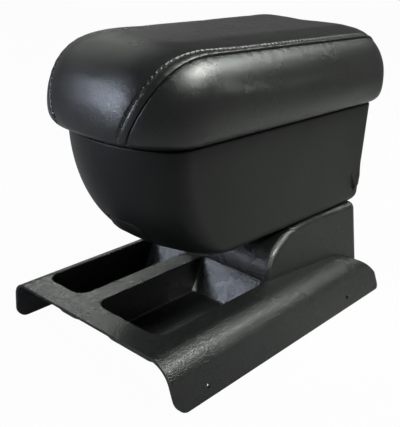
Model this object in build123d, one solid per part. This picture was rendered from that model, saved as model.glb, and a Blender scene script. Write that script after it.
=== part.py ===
from build123d import *
import math
import os

# Car centre armrest: a formed plastic saddle with trays and a pedestal, a hull-shaped storage
# bin bolted on the pedestal, and a padded lid hinged at the rear. Millimetres, +Z up, +Y rear,
# origin on the floor plane under the middle of the object.

# Saddle: one formed sheet with a deck, flared skirts, a rear wall and a pedestal
SHEET = 3.0
BASE_FRONT = -185.0
BASE_REAR = 179.0
RIGHT_FOOT = 124.5
LEFT_FOOT = 121.5
DECK_HEIGHT = 46.0
RIGHT_LEAN = 22.0
LEFT_LEAN = 2.0
RIGHT_SHOULDER_RADIUS = 30.0
LEFT_SHOULDER_RADIUS = 16.0
REAR_FALL_RUN = 54.0
REAR_FALL_DROP = 27.0
SKIRT_FRONT_RADIUS = 14.0
SKIRT_REAR_RADIUS = 6.0

# Screw holes in the skirts
SCREW_HOLE_RADIUS = 2.25
SCREW_HOLE_HEIGHT = 10.5
SCREW_FRONT_Y = -140.0
SCREW_PITCH = 249.0

# Trays sunk in the deck
TRAY_FLOOR = 10.0
TRAY_FRONT = -155.0
TRAY_CORNER_RADIUS = 14.0
TRAY_REAR_CORNER_RADIUS = 5.0
TRAY_LIP_RADIUS = 1.8
TRAY_REAR_MARGIN = 0.3
TRAY_DRAFT = 7.0
TRAY_REAR_RUN = 24.0
TRAY_FLOOR_RADIUS = 3.5
LEFT_TRAY_LEFT = -103.0
LEFT_TRAY_RIGHT = -47.0
RIGHT_TRAY_LEFT = -23.0
RIGHT_TRAY_RIGHT = 68.0

# Pedestal
PEDESTAL_FRONT = 15.0
PEDESTAL_FRONT_HALF = 71.0
PEDESTAL_REAR_HALF = 89.0
PEDESTAL_DRAFT = 9.5
PEDESTAL_BROW_START = 48.0
PEDESTAL_BROW_RUN = 85.0
BROW_FULLNESS = 0.55
PEDESTAL_EDGE_RADIUS = 9.0

# Seat plane shared by the pedestal's top and the bin's bottom
SEAT_HEIGHT = 103.0

# Bin: hull with a raked bow, layered as vinyl wrap, moulded tub and felt lining
BIN_FRONT = -174.5
BIN_REAR = 182.0
BIN_FRONT_HALF = 76.0
BIN_REAR_HALF = 81.0
BIN_FLARE = 1.8
BIN_RIM = 227.5
BIN_BOW_START = -84.5
BIN_BOW_OVER = 8.0
BIN_BOW_POWER = 1.2
BIN_EDGE_RADIUS = 13.5
BIN_FRONT_RADIUS = 30.0
BIN_REAR_RADIUS = 9.8
BIN_FRONT_BOW = 31.0
WRAP = 1.2
TUB_WALL = 5.0
FELT = 1.5

# Lid: board, foam and a cover sewn from three panels
LID_FRONT = -190.5
LID_REAR = 188.0
LID_FRONT_HALF = 93.0
LID_REAR_HALF = 97.5
LID_THICKNESS = 84.7
LID_FRONT_RADIUS = 64.0
LID_REAR_RADIUS = 20.0
LID_FRONT_BOW = 15.0
LID_UNDER_RADIUS = 14.5
LID_SHOULDER_RUN = 38.0
LID_BROW_RUN = 52.0
LID_SIDE_FLAT = 12.0
LID_FRONT_FLAT = 6.0
COVER = 1.2
BOARD = 8.0
COVER_FLANGE = 18.0
LID_LINING = 1.2
SEAM_FOOT_X = 45.5
SEAM_MID_X = 62.6
SEAM_TOP_X = 74.0

# Hinge between bin and lid
LEAF = 1.0
LEAF_GAP = 0.3
KNUCKLE_RADIUS = 2.4
PIN_RADIUS = 1.2
PIN_CLEARANCE = 0.05
HINGE_LENGTH = 110.0
KNUCKLE_COUNT = 5
KNUCKLE_GAP = 0.4
LID_LEAF_WIDTH = 20.0
HINGE_SCREW_RADIUS = 1.3
HINGE_SCREW_HEAD = 2.4
HINGE_SCREW_LENGTH = 7.0
HINGE_SCREW_PITCH = 42.0
HINGE_SCREW_COUNT = 3

# Rim buffers that the closed lid rests on
BUFFER_RADIUS = 2.5
BUFFER_SPACING = 28.0
BUFFER_CLEARANCE = 0.2

# Bolts that hold the bin on the pedestal
BOLT_RADIUS = 3.0
BOLT_HOLE_RADIUS = 3.3
BOLT_SPACING_X = 64.0
BOLT_SPACING_Y = 46.0
BOLT_MIDDLE_Y = 135.0
BOLT_HEAD_RADIUS = 5.0
BOLT_HEAD_HEIGHT = 3.6
BOLT_TAIL = 4.0
WASHER_RADIUS = 9.0
WASHER = 1.2
WASHER_ROOM = 1.5
NUT_ACROSS = 10.0
NUT_HEIGHT = 5.0
PLATE = 2.0
PLATE_MARGIN = 11.0

# Derived levels
BASE_LENGTH = BASE_REAR - BASE_FRONT
TUB_INSET = WRAP
FELT_INSET = WRAP + TUB_WALL
CAVITY_INSET = FELT_INSET + FELT
BIN_BOW_TOP = BIN_RIM + BIN_BOW_OVER
LID_BOTTOM = BIN_RIM + 2 * LEAF + LEAF_GAP
LID_TOP = LID_BOTTOM + LID_THICKNESS
LID_SHOULDER_DROP = LID_THICKNESS - LID_UNDER_RADIUS - LID_SIDE_FLAT
LID_BROW_DROP = LID_THICKNESS - LID_UNDER_RADIUS - LID_FRONT_FLAT
HINGE_Y = BIN_REAR + KNUCKLE_RADIUS + LEAF_GAP
HINGE_Z = BIN_RIM + LEAF + LEAF_GAP / 2
REACH = 2 * BASE_LENGTH


SEAT = Plane(origin=(0, BOLT_MIDDLE_Y, SEAT_HEIGHT))


def plan_outline(front, rear, front_half, rear_half, bow, front_radius, rear_radius):
    """Plan shape that narrows to the front, with a bowed front edge and rounded corners."""
    right_rear, left_rear = (rear_half, rear), (-rear_half, rear)
    right_front, left_front = (front_half, front + bow), (-front_half, front + bow)
    face = make_face(
        [
            Line(left_rear, right_rear),
            Line(right_rear, right_front),
            ThreePointArc(right_front, (0, front), left_front),
            Line(left_front, left_rear),
        ]
    )
    face = fillet(face.vertices().group_by(Axis.Y)[0], front_radius)
    return fillet(face.vertices().group_by(Axis.Y)[-1], rear_radius)


def quarter_ellipse(run, share):
    """Inset of a rounded edge: the full run at share 1, nothing at share 0."""
    return run * (1 - math.sqrt(max(0.0, 1 - share * share)))


def one_solid(shape):
    """The single solid of a result, for export as one piece."""
    return shape.solids().sort_by(SortBy.VOLUME)[-1]


# Formed saddle
def skirt_line(foot, lean, inset, depth):
    """Half-widths of one skirt at its lower end and at the deck, offset inwards by the inset."""
    slope = math.tan(math.radians(lean))
    low = foot - inset / math.cos(math.radians(lean)) + depth * slope
    return low, low - (DECK_HEIGHT - inset + depth) * slope


def deck_profile(inset, bottom):
    """Side view of the saddle: a flat deck that falls to the rear wall in an arc."""
    radius = (REAR_FALL_RUN**2 + REAR_FALL_DROP**2) / (2 * REAR_FALL_DROP)
    last_turn = math.asin((REAR_FALL_RUN - inset) / (radius - inset))
    front, rear, top = BASE_FRONT - inset, BASE_REAR - inset, DECK_HEIGHT - inset

    def on_fall(turn):
        along = BASE_REAR - REAR_FALL_RUN + (radius - inset) * math.sin(turn)
        return along, DECK_HEIGHT - radius + (radius - inset) * math.cos(turn)

    return make_face(
        [
            Line((front, bottom), (rear, bottom)),
            Line((rear, bottom), on_fall(last_turn)),
            ThreePointArc(on_fall(last_turn), on_fall(last_turn / 2), on_fall(0)),
            Line(on_fall(0), (front, top)),
            Line((front, top), (front, bottom)),
        ]
    )


def saddle_form(inset):
    """Deck, shoulders and skirts as a solid block, offset inwards by the inset."""
    depth = 0.0 if inset == 0 else SHEET
    top = DECK_HEIGHT - inset
    right_low, right_top = skirt_line(RIGHT_FOOT, RIGHT_LEAN, inset, depth)
    left_low, left_top = skirt_line(LEFT_FOOT, LEFT_LEAN, inset, depth)
    corners = ((right_low, -depth), (right_top, top), (-left_top, top), (-left_low, -depth))
    section = Polygon(*corners, align=None)
    upper = section.vertices().group_by(Axis.Y)[-1].sort_by(Axis.X)
    section = fillet(upper[-1], RIGHT_SHOULDER_RADIUS - inset)
    upper = section.vertices().filter_by(lambda vertex: vertex.X < 0).group_by(Axis.Y)[-1]
    section = fillet(upper, LEFT_SHOULDER_RADIUS - inset)
    across = extrude(Plane.XZ * section, amount=REACH, both=True)
    return across & extrude(Plane.YZ * deck_profile(inset, -depth), amount=REACH, both=True)


def pedestal_form(inset):
    """Upright block behind the trays: drafted sides, curved brow, top on the seat plane."""
    draft = math.tan(math.radians(PEDESTAL_DRAFT))
    bottom = 0.0 if inset == 0 else -SHEET
    top = SEAT_HEIGHT + PEDESTAL_EDGE_RADIUS
    widen = (PEDESTAL_REAR_HALF - PEDESTAL_FRONT_HALF) / (BASE_REAR - PEDESTAL_FRONT)

    def trapezium(height):
        spread = (DECK_HEIGHT - height) * draft - inset
        front_half = PEDESTAL_FRONT_HALF + spread - widen * PEDESTAL_FRONT_HALF
        rear_half = PEDESTAL_REAR_HALF + spread + widen * PEDESTAL_FRONT_HALF
        front = PEDESTAL_FRONT - PEDESTAL_FRONT_HALF
        rear = BASE_REAR + PEDESTAL_FRONT_HALF
        corners = ((front_half, front), (rear_half, rear), (-rear_half, rear), (-front_half, front))
        return Pos(0, 0, height) * Polygon(*corners, align=None)

    front = PEDESTAL_FRONT + inset
    rear = BASE_REAR - inset
    seat = SEAT_HEIGHT - inset
    brow_end = PEDESTAL_FRONT + PEDESTAL_BROW_RUN
    brow_foot = (front, PEDESTAL_BROW_START)
    hold_y = brow_end - BROW_FULLNESS * (brow_end - front)
    hold_z = PEDESTAL_BROW_START + BROW_FULLNESS * (seat - PEDESTAL_BROW_START)
    profile = make_face(
        [
            Bezier(brow_foot, (front, hold_z), (hold_y, seat), (brow_end, seat)),
            Line(brow_foot, (front, bottom)),
            Line((front, bottom), (rear, bottom)),
            Line((rear, bottom), (rear, seat)),
            Line((rear, seat), (brow_end, seat)),
        ]
    )
    block = loft([trapezium(bottom), trapezium(top)], ruled=True)
    block = block & extrude(Plane.YZ * profile, amount=REACH, both=True)
    side_edges = [
        edge
        for side in (block.faces().sort_by(Axis.X)[0], block.faces().sort_by(Axis.X)[-1])
        for edge in side.edges().sort_by(Axis.Z)[1:]
    ]
    across = block.edges().filter_by(Axis.X)
    rear_top = across.sort_by(lambda edge: edge.center().Y + edge.center().Z)[-1]
    return fillet(side_edges + [rear_top], PEDESTAL_EDGE_RADIUS - inset)


def tray_form(left, right, outset):
    """Tray pocket with drafted walls, a long sloping rear wall and rounded floor edges."""
    rear = PEDESTAL_FRONT - TRAY_LIP_RADIUS - TRAY_REAR_MARGIN
    top = DECK_HEIGHT - outset

    def section(height, grow, rear_grow):
        width = right - left + 2 * grow
        length = rear - TRAY_FRONT + grow + rear_grow
        middle = ((left + right) / 2, (rear + rear_grow + TRAY_FRONT - grow) / 2)
        shape = Rectangle(width, length)
        shape = fillet(shape.vertices().group_by(Axis.Y)[0], TRAY_CORNER_RADIUS + outset)
        shape = fillet(shape.vertices().group_by(Axis.Y)[-1], TRAY_REAR_CORNER_RADIUS + outset)
        return Pos(middle[0], middle[1], height) * shape

    floor = section(TRAY_FLOOR - outset, outset - TRAY_DRAFT, outset - TRAY_REAR_RUN)
    pocket = loft([floor, section(top, outset, outset)], ruled=True)
    return fillet(pocket.faces().sort_by(Axis.Z)[0].edges(), TRAY_FLOOR_RADIUS + outset)


def round_lips(block):
    """Rounds the trays' mouths where they break the deck."""
    deck = block.faces().filter_by(Axis.Z).group_by(Axis.Z)
    level = [group for group in deck if abs(group[0].center().Z - DECK_HEIGHT) < SHEET / 2][0]
    mouths = [wire for face in level for wire in face.inner_wires()]
    return fillet([edge for wire in mouths for edge in wire.edges()], TRAY_LIP_RADIUS)


def screw_holes():
    """Row of screw holes straight across each skirt's wall."""
    hole = Rot(0, 90, 0) * Cylinder(SCREW_HOLE_RADIUS, 4 * SHEET)
    right = RIGHT_FOOT - SCREW_HOLE_HEIGHT * math.tan(math.radians(RIGHT_LEAN))
    left = LEFT_FOOT - SCREW_HOLE_HEIGHT * math.tan(math.radians(LEFT_LEAN))
    rows = (SCREW_FRONT_Y, SCREW_FRONT_Y + SCREW_PITCH)
    return [Pos(x, y, SCREW_HOLE_HEIGHT) * hole for x in (right, -left) for y in rows]


def bolt_places():
    """Bolt positions on the seat plane."""
    return GridLocations(BOLT_SPACING_X, BOLT_SPACING_Y, 2, 2).locations


def on_seat(shape, level):
    """Copies of a shape at every bolt, at a level above the seat plane."""
    return [SEAT.offset(level) * place * shape for place in bolt_places()]


def bolt_holes(radius):
    """Clearance holes for the bolts through everything at the seat."""
    return on_seat(Cylinder(radius, 2 * SEAT_HEIGHT), 0)


def bottom_corner(radius, sense):
    """Bar that rounds the skirts' lower corner at one end of the saddle."""
    block = Pos(0, sense * radius / 2, radius / 2) * Box(REACH, radius, radius)
    return block - Pos(0, sense * radius, radius) * Rot(0, 90, 0) * Cylinder(radius, REACH)


def make_base_shell():
    trays = ((LEFT_TRAY_LEFT, LEFT_TRAY_RIGHT), (RIGHT_TRAY_LEFT, RIGHT_TRAY_RIGHT))
    outer = saddle_form(0) + pedestal_form(0)
    inner = saddle_form(SHEET) + pedestal_form(SHEET)
    for left, right in trays:
        outer = outer - tray_form(left, right, 0)
        inner = inner - tray_form(left, right, SHEET)
    shell = round_lips(outer) - inner
    shell = shell - Pos(0, BASE_FRONT, 0) * bottom_corner(SKIRT_FRONT_RADIUS, 1)
    shell = shell - Pos(0, BASE_REAR, 0) * bottom_corner(SKIRT_REAR_RADIUS, -1)
    return one_solid(shell - screw_holes() - on_seat(Cylinder(BOLT_HOLE_RADIUS, 4 * SHEET), 0))


# Bin
HULL_STEPS = (0, 9, 17, 26, 40, 57, 74, 90)


def hull_form(inset):
    """Hull block up to above the rim: a raked bow and soft lower edges."""
    depth = BIN_BOW_TOP - SEAT_HEIGHT - inset
    radius = BIN_EDGE_RADIUS - inset
    sections = []
    for step in HULL_STEPS:
        climb = depth * (1 - math.cos(math.radians(step)))
        under = quarter_ellipse(radius, max(0.0, 1 - climb / radius))
        narrow = BIN_FLARE * (1 - climb / depth) + inset + under
        scale = (BIN_FRONT_HALF - narrow) / BIN_FRONT_HALF
        bow = math.sin(math.radians(step)) ** BIN_BOW_POWER
        shape = plan_outline(
            BIN_BOW_START + (BIN_FRONT + inset - BIN_BOW_START) * bow,
            BIN_REAR - inset - under,
            BIN_FRONT_HALF - narrow,
            BIN_REAR_HALF - narrow,
            BIN_FRONT_BOW * scale,
            BIN_FRONT_RADIUS * scale,
            BIN_REAR_RADIUS * scale,
        )
        sections.append(Pos(0, 0, SEAT_HEIGHT + inset + climb) * shape)
    return loft(sections, ruled=True)


def below(height):
    """Everything under a level, as a cutting block."""
    return Pos(0, 0, height) * Box(REACH, REACH, REACH, align=(Align.CENTER, Align.CENTER, Align.MAX))


def make_bin():
    """Vinyl wrap with a turned-over rim, moulded tub and felt lining."""
    outside, tub_out = hull_form(0), hull_form(TUB_INSET)
    felt_out, cavity = hull_form(FELT_INSET), hull_form(CAVITY_INSET)
    tub_top = BIN_RIM - WRAP
    wrap = (outside - tub_out) & below(BIN_RIM)
    rim = (outside - felt_out) & (below(BIN_RIM) - below(tub_top))
    wrap = wrap + rim - bolt_holes(BOLT_HOLE_RADIUS)
    tub = ((tub_out - felt_out) & below(tub_top)) - bolt_holes(BOLT_HOLE_RADIUS)
    felt = ((felt_out - cavity) & below(tub_top)) - bolt_holes(WASHER_RADIUS + WASHER_ROOM)
    screws = hinge_screw_places(BIN_REAR - WRAP - TUB_WALL / 2)
    hole = Cylinder(HINGE_SCREW_RADIUS, 2 * HINGE_SCREW_LENGTH)
    holes = [Pos(x, y, BIN_RIM) * hole for x, y in screws]
    return one_solid(wrap - holes), one_solid(tub - holes), one_solid(felt)


def make_bin_fixings():
    """Plate under the pedestal's top, and the bolts, washers and nuts."""
    plate = Box(BOLT_SPACING_X + 2 * PLATE_MARGIN, BOLT_SPACING_Y + 2 * PLATE_MARGIN, PLATE)
    plate = fillet(plate.edges().filter_by(Axis.Z), PLATE_MARGIN / 2)
    plate = (SEAT.offset(-SHEET - PLATE / 2) * plate) - bolt_holes(BOLT_HOLE_RADIUS)
    washer = Cylinder(WASHER_RADIUS, WASHER) - Cylinder(BOLT_HOLE_RADIUS, WASHER)
    washers = on_seat(washer, FELT_INSET + WASHER / 2)
    head_level = FELT_INSET + WASHER
    nut_level = -SHEET - PLATE
    shank = head_level - nut_level + NUT_HEIGHT + BOLT_TAIL
    head = Pos(0, 0, BOLT_HEAD_HEIGHT / 2) * Cylinder(BOLT_HEAD_RADIUS, BOLT_HEAD_HEIGHT)
    head = chamfer(head.edges().sort_by(Axis.Z)[-1], BOLT_HEAD_HEIGHT / 4)
    bolt = head + Pos(0, 0, -shank / 2) * Cylinder(BOLT_RADIUS, shank)
    nut = extrude(RegularPolygon(NUT_ACROSS / 2, 6, major_radius=False), amount=NUT_HEIGHT)
    nut = nut - Pos(0, 0, NUT_HEIGHT / 2) * Cylinder(BOLT_RADIUS, NUT_HEIGHT)
    return {
        "pedestal_plate": plate,
        "seat_washers": washers,
        "seat_bolts": on_seat(bolt, head_level),
        "seat_nuts": on_seat(nut, nut_level - NUT_HEIGHT),
    }


# Lid
LID_UNDER_STEPS = (1.0, 0.87, 0.5, 0.0)
LID_BROW_STEPS = (0.0, 0.3, 0.55, 0.72, 0.84, 0.93, 0.98, 1.0)


def lid_outline(side, front, rear):
    """Plan outline of the lid with its own inset at the sides, the front and the rear."""
    scale = (LID_FRONT_HALF - side) / LID_FRONT_HALF
    return plan_outline(
        LID_FRONT + front,
        LID_REAR - rear,
        LID_FRONT_HALF - side,
        LID_REAR_HALF - side,
        LID_FRONT_BOW * scale,
        LID_FRONT_RADIUS * scale,
        LID_REAR_RADIUS * scale,
    )


def lid_form(inset):
    """Padded block: turned-under lower edge, sides rounded over to the top, a long front brow."""
    bottom = LID_BOTTOM + inset
    shoulder_top = LID_TOP - inset
    under_radius = LID_UNDER_RADIUS - inset
    side_drop, side_run = LID_SHOULDER_DROP - inset, LID_SHOULDER_RUN - inset
    brow_drop, brow_run = LID_BROW_DROP - inset, LID_BROW_RUN - inset
    levels = []
    for step in LID_UNDER_STEPS:
        under = quarter_ellipse(under_radius, step)
        levels.append((bottom + under_radius * (1 - step), under, under))
    for step in LID_BROW_STEPS:
        height = shoulder_top - brow_drop * (1 - step)
        side = quarter_ellipse(side_run, max(0.0, 1 - (shoulder_top - height) / side_drop))
        levels.append((height, side, quarter_ellipse(brow_run, step)))
    sections = []
    for height, side, front in levels:
        sections.append(Pos(0, 0, height) * lid_outline(side + inset, front + inset, side + inset))
    return loft(sections, ruled=True)


def seam_block():
    """Region of the centre panel, between the two seams, along the whole lid."""
    middle = (LID_BOTTOM + LID_TOP) / 2
    foot, top = LID_BOTTOM - COVER_FLANGE, LID_TOP + COVER_FLANGE
    right = ThreePointArc((SEAM_FOOT_X, LID_BOTTOM), (SEAM_MID_X, middle), (SEAM_TOP_X, LID_TOP))
    left = ThreePointArc((-SEAM_FOOT_X, LID_BOTTOM), (-SEAM_MID_X, middle), (-SEAM_TOP_X, LID_TOP))
    face = make_face(
        [
            Line((-SEAM_FOOT_X, foot), (SEAM_FOOT_X, foot)),
            Line((SEAM_FOOT_X, foot), (SEAM_FOOT_X, LID_BOTTOM)),
            right,
            Line((SEAM_TOP_X, LID_TOP), (SEAM_TOP_X, top)),
            Line((SEAM_TOP_X, top), (-SEAM_TOP_X, top)),
            Line((-SEAM_TOP_X, top), (-SEAM_TOP_X, LID_TOP)),
            left,
            Line((-SEAM_FOOT_X, LID_BOTTOM), (-SEAM_FOOT_X, foot)),
        ]
    )
    return extrude(Plane.XZ * face, amount=REACH, both=True)


def lid_slab(inset, low, high):
    """Flat slab with the lid's plan outline."""
    return extrude(Pos(0, 0, low) * lid_outline(inset, inset, inset), amount=high - low)


def make_lid():
    outside, inside = lid_form(0), lid_form(COVER)
    board_low = LID_BOTTOM + COVER
    board = lid_slab(LID_UNDER_RADIUS + COVER, board_low, board_low + BOARD)
    foam = inside - board
    mouth = lid_slab(LID_UNDER_RADIUS + COVER_FLANGE, LID_BOTTOM - COVER, board_low)
    screws = hinge_screw_places(lid_screw_y())
    hole = Cylinder(HINGE_SCREW_RADIUS, 2 * HINGE_SCREW_LENGTH)
    holes = [Pos(x, y, LID_BOTTOM) * hole for x, y in screws]
    board = board - holes
    cover = outside - inside - mouth - holes
    centre = seam_block()
    sides = (cover - centre).solids().sort_by(Axis.X)
    lining_inset = LID_UNDER_RADIUS + COVER_FLANGE - BOARD / 2
    lining = lid_slab(lining_inset, LID_BOTTOM - LID_LINING, LID_BOTTOM)
    leaf_front = HINGE_Y - KNUCKLE_RADIUS - LID_LEAF_WIDTH
    behind = Box(REACH, REACH, REACH, align=(Align.CENTER, Align.MIN, Align.CENTER))
    behind = Pos(0, leaf_front - LEAF, LID_BOTTOM) * behind
    return {
        "lid_board": one_solid(board),
        "lid_foam": one_solid(foam),
        "lid_cover_centre": one_solid(cover & centre),
        "lid_cover_left": sides[0],
        "lid_cover_right": sides[-1],
        "lid_lining": one_solid(lining - behind),
    }


# Hinge
def hinge_screw_places(y):
    """Screw positions along the hinge at one distance from the rear."""
    middle = (HINGE_SCREW_COUNT - 1) / 2
    return [((index - middle) * HINGE_SCREW_PITCH, y) for index in range(HINGE_SCREW_COUNT)]


def lid_screw_y():
    """Row of the screws in the lid's leaf."""
    return HINGE_Y - KNUCKLE_RADIUS - LID_LEAF_WIDTH * 0.6


def hinge_screw(up):
    """Countersunk screw: flat head at the origin, shank along +Z or -Z."""
    sense = 1 if up else -1
    head = Pos(0, 0, sense * LEAF / 2) * Cone(HINGE_SCREW_HEAD, HINGE_SCREW_RADIUS, LEAF)
    if not up:
        head = Pos(0, 0, -LEAF / 2) * Cone(HINGE_SCREW_RADIUS, HINGE_SCREW_HEAD, LEAF)
    shank = Pos(0, 0, sense * HINGE_SCREW_LENGTH / 2) * Cylinder(HINGE_SCREW_RADIUS, HINGE_SCREW_LENGTH)
    return head + shank


def make_leaf(low, plate_front, own, screws, up):
    """Hinge leaf: flat plate, its own knuckles rolled round the pin, countersunk holes."""
    plate_rear = HINGE_Y - KNUCKLE_RADIUS - LEAF_GAP
    plate = Pos(0, plate_front, low) * Box(
        HINGE_LENGTH, plate_rear - plate_front, LEAF, align=(Align.CENTER, Align.MIN, Align.MIN)
    )
    length = HINGE_LENGTH / KNUCKLE_COUNT - KNUCKLE_GAP
    leaf = plate
    for index in range(KNUCKLE_COUNT):
        if (index % 2 == 0) != own:
            continue
        x = (index - (KNUCKLE_COUNT - 1) / 2) * HINGE_LENGTH / KNUCKLE_COUNT
        web = Pos(x, plate_rear - LEAF, low) * Box(
            length, HINGE_Y - plate_rear + LEAF, LEAF, align=(Align.CENTER, Align.MIN, Align.MIN)
        )
        knuckle = Pos(x, HINGE_Y, HINGE_Z) * Rot(0, 90, 0) * Cylinder(KNUCKLE_RADIUS, length)
        leaf = leaf + web + knuckle
    bore = Rot(0, 90, 0) * Cylinder(PIN_RADIUS + PIN_CLEARANCE, HINGE_LENGTH)
    leaf = leaf - Pos(0, HINGE_Y, HINGE_Z) * bore
    face = low if up else low + LEAF
    return one_solid(leaf - [Pos(x, y, face) * hinge_screw(up) for x, y in screws])


def make_hinge():
    bin_screws = hinge_screw_places(BIN_REAR - WRAP - TUB_WALL / 2)
    lid_screws = hinge_screw_places(lid_screw_y())
    lid_leaf_low = LID_BOTTOM - LEAF
    lid_leaf_front = HINGE_Y - KNUCKLE_RADIUS - LID_LEAF_WIDTH
    pin = Pos(0, HINGE_Y, HINGE_Z) * Rot(0, 90, 0) * Cylinder(PIN_RADIUS, HINGE_LENGTH)
    return {
        "hinge_leaf_bin": make_leaf(BIN_RIM, BIN_REAR - FELT_INSET, True, bin_screws, False),
        "hinge_leaf_lid": make_leaf(lid_leaf_low, lid_leaf_front, False, lid_screws, True),
        "hinge_pin": pin,
        "hinge_screws_bin": [Pos(x, y, BIN_RIM + LEAF) * hinge_screw(False) for x, y in bin_screws],
        "hinge_screws_lid": [Pos(x, y, lid_leaf_low) * hinge_screw(True) for x, y in lid_screws],
    }


def make_rim_buffers():
    """Two rubber discs on the front rim under the closed lid."""
    height = LID_BOTTOM - BIN_RIM - BUFFER_CLEARANCE
    sag = BIN_FRONT_BOW * (BUFFER_SPACING / 2 / BIN_FRONT_HALF) ** 2
    y = BIN_FRONT + FELT_INSET / 2 + sag
    disc = Cylinder(BUFFER_RADIUS, height, align=(Align.CENTER, Align.CENTER, Align.MIN))
    return [Pos(side * BUFFER_SPACING / 2, y, BIN_RIM) * disc for side in (-1, 1)]


def main():
    os.makedirs("parts", exist_ok=True)
    bin_wrap, bin_tub, bin_lining = make_bin()
    nodes = {
        "base_shell": make_base_shell(),
        "bin_wrap": bin_wrap,
        "bin_tub": bin_tub,
        "bin_lining": bin_lining,
        "rim_buffers": make_rim_buffers(),
    }
    nodes.update(make_bin_fixings())
    nodes.update(make_lid())
    nodes.update(make_hinge())
    for name, shape in nodes.items():
        if isinstance(shape, list):
            shape = Compound(children=shape)
        export_step(shape, f"parts/{name}.step")


main()
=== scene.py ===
# %% [markdown]
# # Dressing a car centre armrest
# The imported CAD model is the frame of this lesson. It is loaded first and never moved, so every
# new piece is made in the same metres and the same place, and only the looks are added here.

# %% Load the frame
import math

import bpy
import numpy as np
from mathutils import Matrix, Quaternion, Vector


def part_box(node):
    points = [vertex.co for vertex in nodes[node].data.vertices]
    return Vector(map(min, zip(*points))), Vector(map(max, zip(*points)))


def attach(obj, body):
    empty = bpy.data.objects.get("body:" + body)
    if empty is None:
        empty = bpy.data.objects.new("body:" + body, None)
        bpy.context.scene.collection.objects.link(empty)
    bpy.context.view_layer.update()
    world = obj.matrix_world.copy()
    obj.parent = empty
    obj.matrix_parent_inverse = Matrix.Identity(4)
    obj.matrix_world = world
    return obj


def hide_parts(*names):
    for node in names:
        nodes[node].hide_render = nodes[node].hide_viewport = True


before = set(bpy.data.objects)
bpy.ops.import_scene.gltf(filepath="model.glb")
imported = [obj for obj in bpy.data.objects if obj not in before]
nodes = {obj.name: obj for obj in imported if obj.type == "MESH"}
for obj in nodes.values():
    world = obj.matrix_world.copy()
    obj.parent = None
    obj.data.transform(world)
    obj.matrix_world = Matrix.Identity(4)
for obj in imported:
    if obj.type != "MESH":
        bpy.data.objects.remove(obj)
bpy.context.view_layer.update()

MM = 0.001

# %% [markdown]
# ## Camera
# The photograph looks down at the front right corner. The camera could be found by eye, but the
# long straight edges of the saddle fix it well, so it stands at one measured place, with a small
# roll. Depth of field stays off.

# %% Camera at the photograph's angle
CAMERA_PLACE = (0.47427, -0.57725, 0.40865)
CAMERA_TURN, CAMERA_TILT, CAMERA_ROLL = 40.65, 68.19, 2.85
CAMERA_LENS = 60.28

bpy.ops.object.camera_add(location=CAMERA_PLACE)
camera = bpy.context.object
camera.rotation_euler = (
    Matrix.Rotation(math.radians(CAMERA_TURN), 4, "Z")
    @ Matrix.Rotation(math.radians(CAMERA_TILT), 4, "X")
    @ Matrix.Rotation(math.radians(CAMERA_ROLL), 4, "Z")
).to_euler()
camera.data.lens = CAMERA_LENS
bpy.context.scene.camera = camera
bpy.context.scene.view_settings.view_transform = "Standard"
print("camera lens", camera.data.lens)

# %% [markdown]
# ## Floor and world
# The object stands on a plain pale floor. A lit white backdrop would also light the object, so
# floor and world are white only where the camera sees them, which a Light Path node tells. In a
# gloss they stay darker, because the lower surfaces in the photograph are dark. The world is a
# little paler at the horizon than above it, so that upright walls come out lighter than the top.


# %% Node helpers
def add_node(tree, kind, inputs=None, **settings):
    """Adds a shader node, sets its properties, and sets or links its inputs by name or number."""
    node = tree.nodes.new(kind)
    for key, value in settings.items():
        setattr(node, key, value)
    for key, value in (inputs or {}).items():
        if isinstance(value, bpy.types.NodeSocket):
            tree.links.new(value, node.inputs[key])
        else:
            node.inputs[key].default_value = value
    return node


def math_node(tree, operation, *terms):
    """The result of one sum on sockets or numbers."""
    return add_node(tree, "ShaderNodeMath", dict(enumerate(terms)), operation=operation).outputs[0]


print("node helpers ready")


# %% Floor
def white_where_seen(tree, share, gloss_share):
    """A factor for rays that show the background, and a factor of its own for rays in a gloss."""
    path = add_node(tree, "ShaderNodeLightPath").outputs
    seen = math_node(tree, "MAXIMUM", path["Is Camera Ray"], path["Is Transmission Ray"])
    in_gloss = math_node(tree, "MULTIPLY", path["Is Glossy Ray"], gloss_share)
    return math_node(tree, "MAXIMUM", math_node(tree, "MULTIPLY", seen, share), in_gloss)


FLOOR_SIZE, FLOOR_DROP = 14.0, 0.0003
FLOOR_COLOUR, WHITE = (0.34, 0.34, 0.34, 1), (1, 1, 1, 1)
FLOOR_WHITE, FLOOR_GLOSS = 0.97, 0.08

bpy.ops.object.select_all(action="DESELECT")
bpy.ops.mesh.primitive_plane_add(size=FLOOR_SIZE, location=(0, 0, -FLOOR_DROP))
floor = bpy.context.object
floor.name = "floor"
floor_finish = bpy.data.materials.new("floor_white")
floor_finish.use_nodes = True
tree = floor_finish.node_tree
tree.nodes.clear()
diffuse = add_node(tree, "ShaderNodeBsdfDiffuse", {"Color": FLOOR_COLOUR})
glow = add_node(tree, "ShaderNodeEmission", {"Color": WHITE, "Strength": 1.0})
mix = add_node(tree, "ShaderNodeMixShader", {0: white_where_seen(tree, FLOOR_WHITE, FLOOR_GLOSS),
                                             1: diffuse.outputs[0], 2: glow.outputs[0]})
add_node(tree, "ShaderNodeOutputMaterial", {"Surface": mix.outputs[0]})
floor.data.materials.append(floor_finish)
print("floor", FLOOR_SIZE, "m")

# %% World
WORLD_LEVEL, HORIZON_LEVEL = 0.15, 0.27
HORIZON_LOW, HORIZON_HIGH = 0.02, 0.25

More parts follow.
